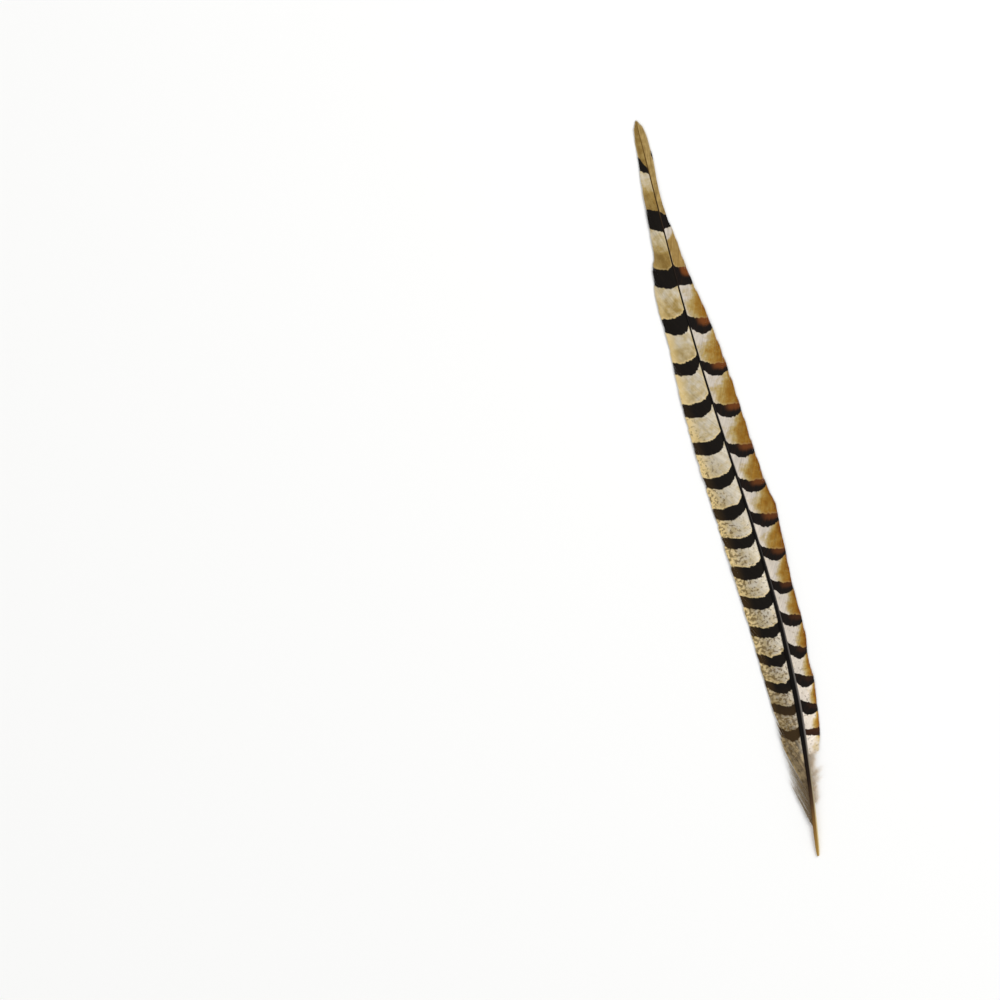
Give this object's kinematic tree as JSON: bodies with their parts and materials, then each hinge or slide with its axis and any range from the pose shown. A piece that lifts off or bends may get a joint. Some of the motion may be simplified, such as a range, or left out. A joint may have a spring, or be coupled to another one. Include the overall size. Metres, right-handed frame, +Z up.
{
  "type": "pheasant tail feather",
  "caption": "Barred pheasant tail feather lying flat: a tapering shaft with a bare quill, a wide inner vane, a narrow outer vane, and loose down at the base.",
  "frame": {"origin": "middle of the feather's length and width, on the surface that it lies on", "axes": "+Y along the shaft from the quill to the tip, +Z up out of the feather's upper side, +X towards the narrow outer vane"},
  "size_m": [0.0338, 0.379, 0.0057],
  "materials": {
    "vane": "soft matt barbs with a faint silky sheen: pale buff-grey crossed by near-black bars, golden along the outer edge",
    "shaft": "smooth polished horn, black-brown between the vanes and translucent straw yellow at the bare quill"
  },
  "bodies": {
    "root": {"tail_feather": "vane"}
  },
  "joints": []
}
